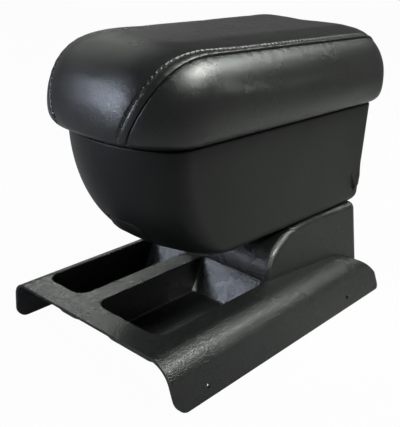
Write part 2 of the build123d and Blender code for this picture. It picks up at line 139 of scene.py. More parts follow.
world = bpy.data.worlds.new("studio")
bpy.context.scene.world = world
world.use_nodes = True
tree = world.node_tree
tree.nodes.clear()
way = add_node(tree, "ShaderNodeTexCoord").outputs["Generated"]
height = add_node(tree, "ShaderNodeSeparateXYZ", {0: way}).outputs["Z"]
level = add_node(tree, "ShaderNodeMapRange", {0: height, 1: HORIZON_LOW, 2: HORIZON_HIGH,
                                              3: HORIZON_LEVEL, 4: WORLD_LEVEL},
                 interpolation_type="SMOOTHSTEP").outputs[0]
seen = math_node(tree, "MAXIMUM", level, white_where_seen(tree, FLOOR_WHITE, FLOOR_GLOSS))
sky = add_node(tree, "ShaderNodeBackground", {"Color": WHITE, "Strength": seen})
add_node(tree, "ShaderNodeOutputWorld", {"Surface": sky.outputs[0]})
print("world from", HORIZON_LEVEL, "at the horizon to", WORLD_LEVEL)

# %% [markdown]
# ## Lamps
# A black object is drawn by what it reflects, so each lamp is placed by mirror: from a bright patch
# in the photograph, the view is reflected in the surface, and the lamp stands along that line.
# Three lamps have a grid that narrows the beam, so that each lights one place and not the lid: the
# deck, the tray's rear wall and the pedestal's edge.


# %% Softboxes
def softbox(name, place, aim, size, energy, colour, spread=180.0, roll=0.0):
    """A rectangular area lamp that faces a point, with a grid that narrows its beam, and a roll."""
    bpy.ops.object.light_add(type="AREA", location=place)
    lamp = bpy.context.object
    lamp.name = name
    lamp.data.shape = "RECTANGLE"
    lamp.data.size, lamp.data.size_y = size
    lamp.data.energy = energy
    lamp.data.color = colour
    lamp.data.spread = math.radians(spread)
    facing = (Vector(aim) - Vector(place)).to_track_quat("-Z", "Y")
    lamp.rotation_euler = (facing @ Quaternion((0, 0, 1), math.radians(roll))).to_euler()


AIM, DECK_AIM = (0.0, 0.0, 0.2), (-0.06, -0.16, 0.046)
PEDESTAL_AIM, TRAY_AIM = (0.069, 0.055, 0.08), (0.02, 0.01, 0.035)
NEUTRAL, COOL = (0.95, 1.0, 0.94), (0.76, 0.84, 1.0)

softbox("key_rear_right", (0.68, 0.46, 1.20), AIM, (0.86, 0.30), 29.5, NEUTRAL, roll=-24.0)
softbox("fill_left", (-0.90, 0.00, 1.10), AIM, (0.90, 0.90), 2.0, NEUTRAL)
softbox("rear_left", (-0.94, 0.51, 0.66), DECK_AIM, (0.45, 0.38), 0.055, NEUTRAL, spread=13.0)
softbox("window_left", (-0.63, -1.40, 0.55), AIM, (0.50, 0.55), 16.0, COOL)
softbox("tray_left", (-0.76, -0.94, 0.71), TRAY_AIM, (0.35, 0.35), 0.13, COOL, spread=14.0)
softbox("lamp_right", (0.92, -0.28, 0.93), PEDESTAL_AIM, (0.22, 0.22), 0.2, NEUTRAL, spread=9.0)

# %% [markdown]
# ## Grain and sheen shared by the finishes
# Vinyl and formed plastic both carry an embossed grain, but of different cells. The grain could
# be painted for each finish, but one node group with a scale input serves them all: cells from a
# Voronoi texture, softened by noise, put out as a height for a Bump node, and as a crease mask with
# which the finishes paint shade into the grain's creases. A second group gives the slow change of
# roughness that handling leaves in any sheen.


# %% Embossed grain
def new_group(name, inputs, outputs):
    """An empty shader node group with float sockets, and its input and output nodes."""
    group = bpy.data.node_groups.new(name, "ShaderNodeTree")
    kind = "NodeSocketFloat"
    for label, default in inputs.items():
        socket = group.interface.new_socket(label, in_out="INPUT", socket_type=kind)
        socket.default_value = default
    for label in outputs:
        group.interface.new_socket(label, in_out="OUTPUT", socket_type=kind)
    return group, group.nodes.new("NodeGroupInput"), group.nodes.new("NodeGroupOutput")


PEBBLE_EDGE, DRIFT_SHARE, DRIFT_DETAIL = 0.28, 0.5, 2.0
HALF = (0.5, 0.5, 0.5)

embossed, start, end = new_group(
    "embossed_grain", {"Scale": 900.0, "Wander": 0.35}, ["Height", "Crease Shade"])
place = add_node(embossed, "ShaderNodeTexCoord").outputs["Object"]
scale = start.outputs["Scale"]
drift = add_node(embossed, "ShaderNodeTexNoise",
                 {"Vector": place, "Scale": scale, "Detail": DRIFT_DETAIL})
bent = add_node(embossed, "ShaderNodeVectorMath", {0: drift.outputs["Color"], 1: HALF},
                operation="SUBTRACT")
reach = math_node(embossed, "DIVIDE", start.outputs["Wander"], scale)
bent = add_node(embossed, "ShaderNodeVectorMath", {0: bent.outputs[0], "Scale": reach},
                operation="SCALE")
bent = add_node(embossed, "ShaderNodeVectorMath", {0: place, 1: bent.outputs[0]}, operation="ADD")
cells = add_node(embossed, "ShaderNodeTexVoronoi", {"Vector": bent.outputs[0], "Scale": scale},
                 feature="DISTANCE_TO_EDGE")
pebble = add_node(embossed, "ShaderNodeMapRange",
                  {0: cells.outputs["Distance"], 1: 0.0, 2: PEBBLE_EDGE, 3: 0.0, 4: 1.0},
                  interpolation_type="SMOOTHSTEP").outputs[0]
mixed = math_node(embossed, "MULTIPLY_ADD", drift.outputs["Fac"], DRIFT_SHARE, pebble)
embossed.links.new(mixed, end.inputs["Height"])
# Crease mask for painted shade: strongest where the grain's cells meet
embossed.links.new(math_node(embossed, "SUBTRACT", 1.0, pebble), end.inputs["Crease Shade"])
print("group", embossed.name)

# %% Handled sheen
CLOUD_LOW, CLOUD_HIGH, CLOUD_DETAIL = 0.3, 0.7, 4.0

handled, start, end = new_group(
    "handled_sheen", {"Scale": 14.0, "Low": 0.4, "High": 0.5}, ["Roughness"])
place = add_node(handled, "ShaderNodeTexCoord").outputs["Object"]
cloud = add_node(handled, "ShaderNodeTexNoise",
                 {"Vector": place, "Scale": start.outputs["Scale"], "Detail": CLOUD_DETAIL})
rough = add_node(handled, "ShaderNodeMapRange",
                 {0: cloud.outputs["Fac"], 1: CLOUD_LOW, 2: CLOUD_HIGH,
                  3: start.outputs["Low"], 4: start.outputs["High"]})
handled.links.new(rough.outputs[0], end.inputs["Roughness"])
print("group", handled.name)

# %% [markdown]
# ## Finishes
# Each finish is one Principled shader fed by the two groups, with shade painted into the grain's
# creases by a darker colour. The vinyl has a fine pebble grain and a satin sheen. The formed saddle
# has a coarser, harder grain that sparkles where it turns to the light. Felt, rubber, zinc, coated
# steel and board differ in grain size, depth, sheen and painted crease shade.


# %% Make a grained finish
def grained(name, colour, crease_shade_colour, roughness, scale, depth,
            strength=0.5, metallic=0.0, specular=0.5):
    """A grained material: colour, painted crease shade, roughness range, cells per metre and depth.
    """
    finish = bpy.data.materials.new(name)
    finish.use_nodes = True
    tree = finish.node_tree
    shader = tree.nodes["Principled BSDF"]
    grain = add_node(tree, "ShaderNodeGroup", node_tree=embossed)
    grain.inputs["Scale"].default_value = scale
    sheen = add_node(tree, "ShaderNodeGroup", node_tree=handled)
    sheen.inputs["Low"].default_value, sheen.inputs["High"].default_value = roughness
    # Painted shade: the colour turns to the darker crease colour where the grain's cells meet
    shade = add_node(tree, "ShaderNodeMix", {0: grain.outputs["Crease Shade"], 6: (*colour, 1),
                                             7: (*crease_shade_colour, 1)}, data_type="RGBA")
    bump = add_node(tree, "ShaderNodeBump", {"Height": grain.outputs["Height"], "Distance": depth,
                                             "Strength": strength})
    tree.links.new(shade.outputs[2], shader.inputs["Base Color"])
    tree.links.new(sheen.outputs["Roughness"], shader.inputs["Roughness"])
    tree.links.new(bump.outputs[0], shader.inputs["Normal"])
    shader.inputs["Metallic"].default_value = metallic
    shader.inputs["Specular IOR Level"].default_value = specular
    return finish


# The second colour of each finish is painted shade in the grain's creases
lid_vinyl = grained("lid_vinyl", (0.010, 0.011, 0.010), (0.006, 0.006, 0.006),
                    (0.25, 0.31), 760, 0.00013)
bin_vinyl = grained("bin_vinyl", (0.007, 0.008, 0.007), (0.004, 0.004, 0.004),
                    (0.36, 0.44), 760, 0.00015, specular=0.22)
saddle_plastic = grained("saddle_plastic", (0.007, 0.008, 0.0075), (0.004, 0.004, 0.004),
                         (0.24, 0.31), 560, 0.00022, strength=0.7)
thread = grained("thread", (0.022, 0.022, 0.021), (0.01, 0.01, 0.01), (0.38, 0.46), 3500, 0.00008)
print("finishes that show:", lid_vinyl.name, bin_vinyl.name, saddle_plastic.name, thread.name)

# %% Finishes of the inner pieces, and the CAD nodes that stay
# Here too the second colour is painted shade in the grain's creases
felt = grained("felt", (0.026, 0.026, 0.027), (0.012, 0.012, 0.013),
               (0.92, 0.98), 1600, 0.0004, strength=0.8, specular=0.2)
tub_plastic = grained("tub_plastic", (0.045, 0.045, 0.046), (0.03, 0.03, 0.03),
                      (0.45, 0.55), 700, 0.0001)
zinc = grained("zinc", (0.52, 0.52, 0.54), (0.40, 0.40, 0.41),
               (0.26, 0.38), 1500, 0.00003, strength=0.3, metallic=1.0)
coated_steel = grained("coated_steel", (0.025, 0.025, 0.026), (0.015, 0.015, 0.015),
                       (0.38, 0.5), 1800, 0.00004)
rubber = grained("rubber", (0.018, 0.018, 0.018), (0.012, 0.012, 0.012), (0.7, 0.8), 1200, 0.00006)
hardboard = grained("hardboard", (0.36, 0.25, 0.16), (0.22, 0.15, 0.09), (0.7, 0.85), 1100, 0.0002)

NODE_FINISH = {
    "base_shell": saddle_plastic,
    "pedestal_plate": zinc,
    "seat_washers": zinc,
    "seat_bolts": zinc,
    "seat_nuts": zinc,
    "bin_tub": tub_plastic,
    "bin_lining": felt,
    "rim_buffers": rubber,
    "hinge_leaf_bin": coated_steel,
    "hinge_leaf_lid": coated_steel,
    "hinge_pin": zinc,
    "hinge_screws_bin": zinc,
    "hinge_screws_lid": zinc,
    "lid_board": hardboard,
    "lid_lining": felt,
}
for name, finish in NODE_FINISH.items():
    nodes[name].data.materials.clear()
    nodes[name].data.materials.append(finish)
print("finished CAD nodes", len(NODE_FINISH))

# %% [markdown]
# ## Rolling a grid into a hull
# The bin and the lid are closed round in plan and change from level to level, like a hull. Such a
# form could be lofted from curves, but a grid is simpler: its columns go round the plan outline
# and its rows climb from level to level. Each vertex is set to its place on its ring, and the two
# ends of the grid are merged.


# %% Plan rings
def arc(centre, radius, first, last, steps=24):
    """Points along an arc, from one angle to another."""
    turn = np.linspace(first, last, steps)
    return np.column_stack([centre[0] + radius * np.cos(turn), centre[1] + radius * np.sin(turn)])


def plan_ring(front, rear, front_half, rear_half, bow, front_radius, rear_radius, count):
    """Evenly spaced points round a plan that narrows to a bowed front edge with rounded corners."""
    big = (front_half**2 + bow**2) / (2 * bow)
    bow_centre = front + big
    corner_x = front_half - front_radius
    corner_y = bow_centre - math.sqrt((big - front_radius) ** 2 - corner_x**2)
    meet = math.atan2(corner_y - bow_centre, corner_x)
    right = np.vstack([
        [(0.0, rear)],
        arc((front_half - rear_radius, rear - rear_radius), rear_radius, math.pi / 2, 0),
        arc((corner_x, corner_y), front_radius, 0, meet),
        arc((0, bow_centre), big, meet, -math.pi / 2),
    ])
    right[:, 0] *= 1 + (rear_half / front_half - 1) * (right[:, 1] - front) / (rear - front)
    left = right[-2:0:-1] * (-1, 1)
    loop = np.vstack([right, left, right[:1]])
    run = np.concatenate([[0], np.cumsum(np.linalg.norm(np.diff(loop, axis=0), axis=1))])
    at = np.linspace(0, run[-1], count + 1)[:-1]
    return np.column_stack([np.interp(at, run, loop[:, 0]), np.interp(at, run, loop[:, 1])])


def at_height(ring, height):
    """A plan ring lifted to a height."""
    return np.column_stack([ring, np.full(len(ring), height)])


def shrunk(ring, share):
    """A ring drawn in towards its own middle."""
    middle = ring.mean(axis=0)
    return middle + (ring - middle) * share


def rounded(run, share):
    """Inset of a rounded edge: the full run at share 1, nothing at share 0."""
    return run * (1 - math.sqrt(max(0.0, 1 - share * share)))


print("ring helpers ready")

# %% Rolled grid
MERGE_GAP = 0.02 * MM


def read_points(piece):
    """Vertex places of a mesh as rows of x, y, z."""
    flat = np.empty(len(piece.data.vertices) * 3)
    piece.data.vertices.foreach_get("co", flat)
    return flat.reshape(-1, 3)


def write_points(piece, points):
    """Moves the vertices of a mesh to new places."""
    flat = np.ascontiguousarray(points, dtype=np.float32).ravel()
    piece.data.vertices.foreach_set("co", flat)
    piece.data.update()


def roll_grid(name, rings):
    """A closed hull through rings of points: a grid whose ends are merged, with faces outwards."""
    count = len(rings[0])
    bpy.ops.object.select_all(action="DESELECT")
    bpy.ops.mesh.primitive_grid_add(x_subdivisions=count, y_subdivisions=len(rings) - 1, size=1)
    piece = bpy.context.object
    piece.name = name
    write_points(piece, np.vstack([np.vstack([ring, ring[:1]]) for ring in rings]))
    bpy.ops.object.mode_set(mode="EDIT")
    bpy.ops.mesh.select_all(action="SELECT")
    bpy.ops.mesh.remove_doubles(threshold=MERGE_GAP)
    bpy.ops.mesh.normals_make_consistent(inside=False)
    bpy.ops.object.mode_set(mode="OBJECT")
    bpy.ops.object.shade_smooth()
    return piece


print("grid helpers ready")

# %% [markdown]
# ## Bin
# The bin is a moulded tub wrapped in vinyl. Its bow sweeps back to the pedestal in one curve, the
# lower edges are soft, and the vinyl goes over the rim. A box with bevels would miss the sweep, so
# the skin is a rolled grid whose rings follow the bow's angle from the bottom to the rim.

# %% Bin hull
wrap_low, wrap_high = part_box("bin_wrap")
BIN_COLUMNS, BIN_ROWS = 360, 60
BIN_BOTTOM, BIN_RIM = wrap_low.z, wrap_high.z
BIN_FRONT, BIN_REAR = wrap_low.y, wrap_high.y
BIN_FRONT_HALF, BIN_REAR_HALF, BIN_FLARE = 76.0 * MM, 81.0 * MM, 1.8 * MM
BIN_BOW_START, BIN_BOW_TOP, BIN_BOW_POWER = -84.5 * MM, BIN_RIM + 8.0 * MM, 1.2
BIN_EDGE_RADIUS = 13.5 * MM
BIN_FRONT_BOW, BIN_FRONT_RADIUS, BIN_REAR_RADIUS = 31.0 * MM, 30.0 * MM, 9.8 * MM
BIN_BOTTOM_SHARES, RIM_SHARES = (0.0, 0.5, 0.9), (0.0, 0.35, 0.7, 1.0)
RIM_TURN, RIM_WIDTH = 1.5 * MM, 6.2 * MM


def bin_ring(angle, inset=0.0):
    """One level ring of the hull, at an angle of the bow's sweep from the bottom to the rim."""
    depth = BIN_BOW_TOP - BIN_BOTTOM
    climb = depth * (1 - math.cos(angle))
    under = rounded(BIN_EDGE_RADIUS, max(0.0, 1 - climb / BIN_EDGE_RADIUS))
    narrow = BIN_FLARE * (1 - climb / depth) + under + inset
    scale = 1 - narrow / BIN_FRONT_HALF
    sweep = math.sin(angle) ** BIN_BOW_POWER
    front = BIN_BOW_START + (BIN_FRONT - BIN_BOW_START) * sweep + inset
    ring = plan_ring(front, BIN_REAR - under - inset,
                     BIN_FRONT_HALF - narrow, BIN_REAR_HALF - narrow, BIN_FRONT_BOW * scale,
                     BIN_FRONT_RADIUS * scale, BIN_REAR_RADIUS * scale, BIN_COLUMNS)
    return at_height(ring, BIN_BOTTOM + climb)


def rim_ring(inset, height):
    """A ring of the rim, where the vinyl turns over the tub's edge."""
    return at_height(bin_ring(rim_angle, inset)[:, :2], height)


rim_angle = math.acos(1 - (BIN_RIM - BIN_BOTTOM) / (BIN_BOW_TOP - BIN_BOTTOM))
rings = [shrunk(bin_ring(0), share) for share in BIN_BOTTOM_SHARES]
rings += [bin_ring(rim_angle * step / BIN_ROWS) for step in range(BIN_ROWS)]
for share in RIM_SHARES:
    turn = share * math.pi / 2
    rings.append(rim_ring(RIM_TURN * (1 - math.cos(turn)), BIN_RIM - RIM_TURN * (1 - math.sin(turn))))
rings.append(rim_ring(RIM_WIDTH, BIN_RIM))
rings.append(rim_ring(RIM_WIDTH, BIN_RIM - RIM_TURN))
bin_skin = roll_grid("bin_skin", rings)
print("bin hull", len(bin_skin.data.polygons), "faces")

# %% [markdown]
# ## Pleats in the wrap
# Where the sheet has to turn two ways at once, it gathers: in a tongue at the foot of the bow, and
# in a tuck at each lower rear corner. They could be sculpted, but a rule in millimetres is easier
# to set: the faces there are divided, and each vertex moves along its normal. No pit is deeper
# than the sheet is thick, so the tub stays covered.


# %% Divide faces and move them softly
def alone(piece):
    """Selects one object only and makes it active, because operators act on all that is selected."""
    bpy.ops.object.select_all(action="DESELECT")
    piece.select_set(True)
    bpy.context.view_layer.objects.active = piece


def read_normals(piece):
    """Vertex normals of a mesh."""
    flat = np.empty(len(piece.data.vertices) * 3)
    piece.data.vertices.foreach_get("normal", flat)
    return flat.reshape(-1, 3)


def divide_where(piece, rule):
    """Divides the faces that a rule picks by their middles and normals."""
    count = len(piece.data.polygons)
    middles, normals = np.empty(count * 3), np.empty(count * 3)
    piece.data.polygons.foreach_get("center", middles)
    piece.data.polygons.foreach_get("normal", normals)
    picked = rule(middles.reshape(-1, 3), normals.reshape(-1, 3))
    alone(piece)
    bpy.ops.object.mode_set(mode="EDIT")
    bpy.ops.mesh.select_mode(type="FACE")
    bpy.ops.mesh.select_all(action="DESELECT")
    bpy.ops.object.mode_set(mode="OBJECT")
    piece.data.polygons.foreach_set("select", picked)
    bpy.ops.object.mode_set(mode="EDIT")
    bpy.ops.mesh.subdivide(number_cuts=1)
    bpy.ops.object.mode_set(mode="OBJECT")


def smooth_step(value, first, last):
    """Goes softly from 0 at the first value to 1 at the last."""
    share = np.clip((value - first) / (last - first), 0, 1)
    return share * share * (3 - 2 * share)


print("dividing helpers ready")

# %% Tongue on the bow, in millimetres
TONGUE_HALF, TONGUE_TOP, TONGUE_FALL, TONGUE_POWER = 23.0, 143.0, 9.0, 6
TONGUE_REACH, TONGUE_FADE, TONGUE_END = 1.2, 0.9, 1.04
BOW_REAR = -80.0
CREASE_DEPTH, CREASE_WIDTH = 0.9, 1.3
BULGE_RISE, BULGE_FULL, BULGE_FALL, BULGE_END = 1.6, 9.0, 12.0, 34.0


def tongue(x, y, z):
    """The bottom sheet ends in a tongue on the bow: a crease with a soft bulge below it."""
    across = np.abs(x) / TONGUE_HALF
    below = TONGUE_TOP - TONGUE_FALL * np.minimum(across, TONGUE_REACH) ** TONGUE_POWER - z
    crease = -CREASE_DEPTH * np.exp(-((below / CREASE_WIDTH) ** 2))
    bulge = BULGE_RISE * smooth_step(below, 0, BULGE_FULL)
    bulge *= 1 - smooth_step(below, BULGE_FALL, BULGE_END)
    fade = (1 - smooth_step(across, TONGUE_FADE, TONGUE_END)) * (y < BOW_REAR)
    return (crease + bulge) * fade


print("tongue", 2 * TONGUE_HALF, "mm wide")

# %% Tuck at the rear corners, in millimetres
TUCK_HIGH, TUCK_LOW = np.array([156.0, 141.0]), np.array([165.0, 124.0])
TUCK_DEPTH, TUCK_FRONT, TUCK_REAR, TUCK_END = 0.9, 3.5, 1.0, 3.0
TUCK_START = 0.25
FLAP_RISE, FLAP_STEP, FLAP_FLAT, FLAP_END = 2.0, 1.3, 4.0, 15.0
GATHER_Y, GATHER_Z, GATHER_RISE = 173.0, 137.0, 1.5
GATHER_LONG, GATHER_HIGH = 6.0, 9.0


def tuck(y, z):
    """At each lower rear corner the sheet is tucked in, and a flap stands up behind the tuck."""
    run = TUCK_LOW - TUCK_HIGH
    length = np.hypot(*run)
    along = ((y - TUCK_HIGH[0]) * run[0] + (z - TUCK_HIGH[1]) * run[1]) / length
    behind = ((z - TUCK_HIGH[1]) * run[0] - (y - TUCK_HIGH[0]) * run[1]) / length
    past = np.maximum(0, np.maximum(-along, along - length))
    fade = TUCK_START + (1 - TUCK_START) * np.clip(along / length, 0, 1)
    fade *= np.exp(-((past / TUCK_END) ** 2))
    pit = -TUCK_DEPTH * np.exp(-((behind / np.where(behind > 0, TUCK_REAR, TUCK_FRONT)) ** 2))
    flap = FLAP_RISE * smooth_step(behind, 0, FLAP_STEP)
    flap *= 1 - smooth_step(behind, FLAP_FLAT, FLAP_END)
    gather = np.exp(-(((y - GATHER_Y) / GATHER_LONG) ** 2) - ((z - GATHER_Z) / GATHER_HIGH) ** 2)
    return (pit + flap) * fade + GATHER_RISE * gather


print("tuck", round(float(np.hypot(*(TUCK_LOW - TUCK_HIGH))), 1), "mm long")

# %% Press the pleats and dress the bin
TONGUE_NEAR, TONGUE_ABOVE, TONGUE_BELOW = 1.15, 4.0, 36.0
CORNER_X, CORNER_Y, CORNER_LOW, CORNER_HIGH = 60.0, 148.0, 112.0, 152.0


def near_pleats(middles, normals):
    """Faces of the tongue and of the tucked corners."""
    x, y, z = middles.T / MM
    bow = (np.abs(x) < TONGUE_NEAR * TONGUE_HALF) & (y < BOW_REAR)
    bow &= (z < TONGUE_TOP + TONGUE_ABOVE) & (z > TONGUE_TOP - TONGUE_BELOW)
    corner = (np.abs(x) > CORNER_X) & (y > CORNER_Y) & (z > CORNER_LOW) & (z < CORNER_HIGH)
    return bow | corner


divide_where(bin_skin, near_pleats)
divide_where(bin_skin, near_pleats)
points, normals = read_points(bin_skin), read_normals(bin_skin)
x, y, z = points.T / MM
write_points(bin_skin, points + normals * ((tongue(x, y, z) + tuck(y, z)) * MM)[:, None])
alone(bin_skin)
bpy.ops.object.shade_smooth()
bin_skin.data.materials.append(bin_vinyl)
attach(bin_skin, "base")
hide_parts("bin_wrap")
print("bin skin", len(bin_skin.data.polygons), "faces")

# %% [markdown]
# ## Lid
# The lid is a foam block in a sewn cover: a long centre panel that runs from the front over the
# top, and a panel at each side. A pillow could be drawn by hand, but it is more alive when it is
# blown up: a slightly smaller block is remeshed to even quads, held at its underside, and swollen
# with Blender's Cloth, as foam swells under its cover.

# %% Block for the padding
cover_low, cover_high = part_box("lid_cover_centre")
LID_COLUMNS, UNDER_STEPS, SHOULDER_STEPS = 220, 7, 16
LID_BOTTOM, LID_TOP = cover_low.z, cover_high.z
LID_FRONT, LID_REAR = cover_low.y, cover_high.y
LID_REAR_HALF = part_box("lid_cover_right")[1].x
LID_FRONT_HALF = LID_REAR_HALF - 4.5 * MM
LID_FRONT_RADIUS, LID_REAR_RADIUS, LID_FRONT_BOW = 64.0 * MM, 20.0 * MM, 15.0 * MM
LID_UNDER_RADIUS = 14.5 * MM
LID_SHOULDER_RUN, LID_BROW_RUN = 38.0 * MM, 52.0 * MM
LID_SIDE_FLAT, LID_FRONT_FLAT = 12.0 * MM, 6.0 * MM
SWELL_ROOM = 0.6 * MM
CLOSING_SHARES = (0.0, 0.3, 0.6, 0.85)


def lid_ring(height, side, front):
    """One level of the lid, with its own inset at the sides and the front."""
    scale = 1 - side / LID_FRONT_HALF
    ring = plan_ring(LID_FRONT + front, LID_REAR - side,
                     LID_FRONT_HALF - side, LID_REAR_HALF - side, LID_FRONT_BOW * scale,
                     LID_FRONT_RADIUS * scale, LID_REAR_RADIUS * scale, LID_COLUMNS)
    return at_height(ring, height)


top, under = LID_TOP - SWELL_ROOM, LID_UNDER_RADIUS - SWELL_ROOM
thick = LID_TOP - LID_BOTTOM - LID_UNDER_RADIUS
side_drop, brow_drop = thick - LID_SIDE_FLAT - SWELL_ROOM, thick - LID_FRONT_FLAT - SWELL_ROOM
levels = []
for turn in np.linspace(0, math.pi / 2, UNDER_STEPS)[:-1]:
    inset = under * (1 - math.sin(turn)) + SWELL_ROOM
    levels.append((LID_BOTTOM + under * (1 - math.cos(turn)), inset, inset))
for turn in np.linspace(0, math.pi / 2, SHOULDER_STEPS):
    height = top - brow_drop * (1 - math.sin(turn))
    side = rounded(LID_SHOULDER_RUN, max(0.0, 1 - (top - height) / side_drop))
    levels.append((height, side + SWELL_ROOM, rounded(LID_BROW_RUN, math.sin(turn)) + SWELL_ROOM))
rings = [lid_ring(*level) for level in levels]
rings = [shrunk(rings[0], share) for share in CLOSING_SHARES] + rings
rings += [shrunk(rings[-1], share) for share in reversed(CLOSING_SHARES)]
lid_cover = roll_grid("lid_cover", rings)
print("lid block", len(lid_cover.data.polygons), "faces")

# %% Cloth that swells
CLOTH_FRAMES, CLOTH_QUALITY = 20, 5


def use_modifier(piece, kind, **settings):
    """Adds a modifier, sets it and applies it."""
    alone(piece)
    modifier = piece.modifiers.new(kind.title(), kind)
    for key, value in settings.items():
        setattr(modifier, key, value)
    bpy.ops.object.modifier_apply(modifier=modifier.name)


def swell(piece, held, pressure, limit):
    """Blows a closed mesh up with Cloth, keeps the held vertices, and limits every move outwards."""
    before, normals = read_points(piece), read_normals(piece)
    group = piece.vertex_groups.new(name="held")
    group.add([int(index) for index in np.flatnonzero(held)], 1.0, "REPLACE")
    cloth = piece.modifiers.new("Swell", "CLOTH")
    cloth.settings.quality = CLOTH_QUALITY
    cloth.settings.use_pressure = True
    cloth.settings.uniform_pressure_force = pressure
    cloth.settings.vertex_group_mass = group.name
    cloth.settings.effector_weights.gravity = 0
    cloth.collision_settings.use_collision = False
    cloth.point_cache.frame_start, cloth.point_cache.frame_end = 1, CLOTH_FRAMES
    for number in range(1, CLOTH_FRAMES + 1):
        bpy.context.scene.frame_set(number)
    alone(piece)
    bpy.ops.object.modifier_apply(modifier=cloth.name)
    bpy.context.scene.frame_set(1)
    outwards = np.sum((read_points(piece) - before) * normals, axis=1)
    write_points(piece, before + normals * np.clip(outwards, 0, limit)[:, None])
    piece.vertex_groups.clear()
    return outwards.max()


print("cloth helpers ready")

# %% Swell the padding
VOXEL = 4.0 * MM
PRESSURE, SWELL_LIMIT = 4.0, 2.0 * MM
HELD_HEIGHT = 9.0 * MM
SMOOTHING, BLOCK_ROUNDS, SWELL_ROUNDS = 0.5, 6, 8

use_modifier(lid_cover, "REMESH", mode="VOXEL", voxel_size=VOXEL)
use_modifier(lid_cover, "SMOOTH", factor=SMOOTHING, iterations=BLOCK_ROUNDS)
held = read_points(lid_cover)[:, 2] < LID_BOTTOM + HELD_HEIGHT
most = swell(lid_cover, held, PRESSURE, SWELL_LIMIT)
use_modifier(lid_cover, "SMOOTH", factor=SMOOTHING, iterations=SWELL_ROUNDS)
print("largest free move, mm", round(float(most) / MM, 1))
use_modifier(lid_cover, "SUBSURF", levels=1, render_levels=1)
print("padding", len(lid_cover.data.polygons), "faces")

# %% [markdown]
# ## Seams of the cover
# The two seams climb the front, spread over the brow and run back along the top. They could be
# drawn as curves and projected, but a plain rule is enough: how far from the middle the seam lies
# at a height and a length. From that rule the distance of any point to the seam follows, measured
# along the surface.

# %% Distance to the seam
SEAM_FOOT, SEAM_MID, SEAM_TOP = 45.5 * MM, 62.6 * MM, 74.0 * MM
SEAM_SPREAD, SEAM_SPREAD_START = 0.026, -110.0 * MM
SLOPE_STEP, SLOPE_LEAST = 0.5 * MM, 0.35


def seam_x(y, z):
    """Distance of the seam from the middle plane at a length and a height."""
    climb = (z - LID_BOTTOM) / (LID_TOP - LID_BOTTOM)
    rise = 4 * SEAM_MID - 3 * SEAM_FOOT - SEAM_TOP
    fall = 2 * SEAM_FOOT + 2 * SEAM_TOP - 4 * SEAM_MID
    spread = SEAM_SPREAD * np.maximum(0, y - SEAM_SPREAD_START)
    return SEAM_FOOT + rise * climb + fall * climb**2 + spread


def seam_distance(points, normals):
    """Distance to the nearer seam along the surface: below zero on the centre panel."""
    x, y, z = points.T
    step = SLOPE_STEP
    away = np.abs(x) - seam_x(y, z)
    slope = np.column_stack([
        np.sign(x),
        -(seam_x(y + step, z) - seam_x(y - step, z)) / (2 * step),
        -(seam_x(y, z + step) - seam_x(y, z - step)) / (2 * step),
    ])
    along = slope - normals * np.sum(slope * normals, axis=1, keepdims=True)
    return away / np.maximum(np.linalg.norm(along, axis=1), SLOPE_LEAST)


print("seam at the front foot, mm", round(float(seam_x(LID_FRONT, LID_BOTTOM)) / MM, 1))

# %% [markdown]
# ## Folds along the seams
# On the real lid the centre panel is folded over and topstitched, so a rolled band lies between
# the fold and the row of stitches. The remesh can't hold such narrow forms, so they come now: the
# faces near the seam are divided, and each vertex moves along its normal by a profile of its
# distance to the seam.

# %% Profile of the band, in millimetres
BAND_FRONT, BAND_REAR = 8.6 * MM, 4.6 * MM
BAND_FULL_Y, BAND_SLIM_Y = -170.0 * MM, -40.0 * MM
FOLD_DEPTH, FOLD_INNER, FOLD_OUTER = 2.3, 0.55, 0.6
BAND_RISE, BAND_POWER = 0.7, 0.6
STITCH_GROOVE, GROOVE_WIDTH = 0.35, 1.2
SIDE_SINK, SIDE_RUN = 0.3, 3.0
PUCKER_RISE, PUCKER_PITCH, PUCKER_MIDDLE, PUCKER_WIDTH = 0.12, 15.0, 3.0, 9.0


def band_width(y):
    """Width of the folded band: wide on the front, slim along the top."""
    return BAND_FRONT + (BAND_REAR - BAND_FRONT) * smooth_step(y, BAND_FULL_Y, BAND_SLIM_Y)


def band_place(points, normals):
    """Distance to the seam in mm, and the band's width there."""
    return seam_distance(points, normals) / MM, band_width(points[:, 1]) / MM


def fold_profile(away, band, run):
    """Height of the cover over its padding by distance to the seam, in metres."""
    inside = np.clip(1 + away / band, 0, 1)
    roll = BAND_RISE * np.sin(math.pi * inside) ** BAND_POWER
    stitch = -STITCH_GROOVE * np.exp(-(((away + band) / GROOVE_WIDTH) ** 2))
    fold = -FOLD_DEPTH * np.exp(-((away / np.where(away < 0, FOLD_INNER, FOLD_OUTER)) ** 2))
    side = np.where(away > 0, -SIDE_SINK * np.exp(-np.maximum(away, 0) / SIDE_RUN), 0)
    pucker = PUCKER_RISE * np.sin(run / MM * 2 * math.pi / PUCKER_PITCH)
    pucker *= np.exp(-(((away + PUCKER_MIDDLE) / PUCKER_WIDTH) ** 2))
    return (roll + stitch + fold + side + pucker) * MM


print("band from", BAND_FRONT / MM, "to", BAND_REAR / MM, "mm wide")

# %% Divide near the seams and press the folds
BAND_INNER, BAND_OUTER = 4.0, 6.0
FOLD_NEAR, STITCH_NEAR = 2.4, 2.2
FOLD_FOOT, FOLD_FULL = LID_BOTTOM + 2 * MM, LID_BOTTOM + 10 * MM


def near_band(middles, normals):
    """Faces of the band and its edges."""
    away, band = band_place(middles, normals)
    return (away > -band - BAND_INNER) & (away < BAND_OUTER)


def near_lines(middles, normals):
    """Faces along the fold and along the stitches."""
    away, band = band_place(middles, normals)
    return (np.abs(away) < FOLD_NEAR) | (np.abs(away + band) < STITCH_NEAR)


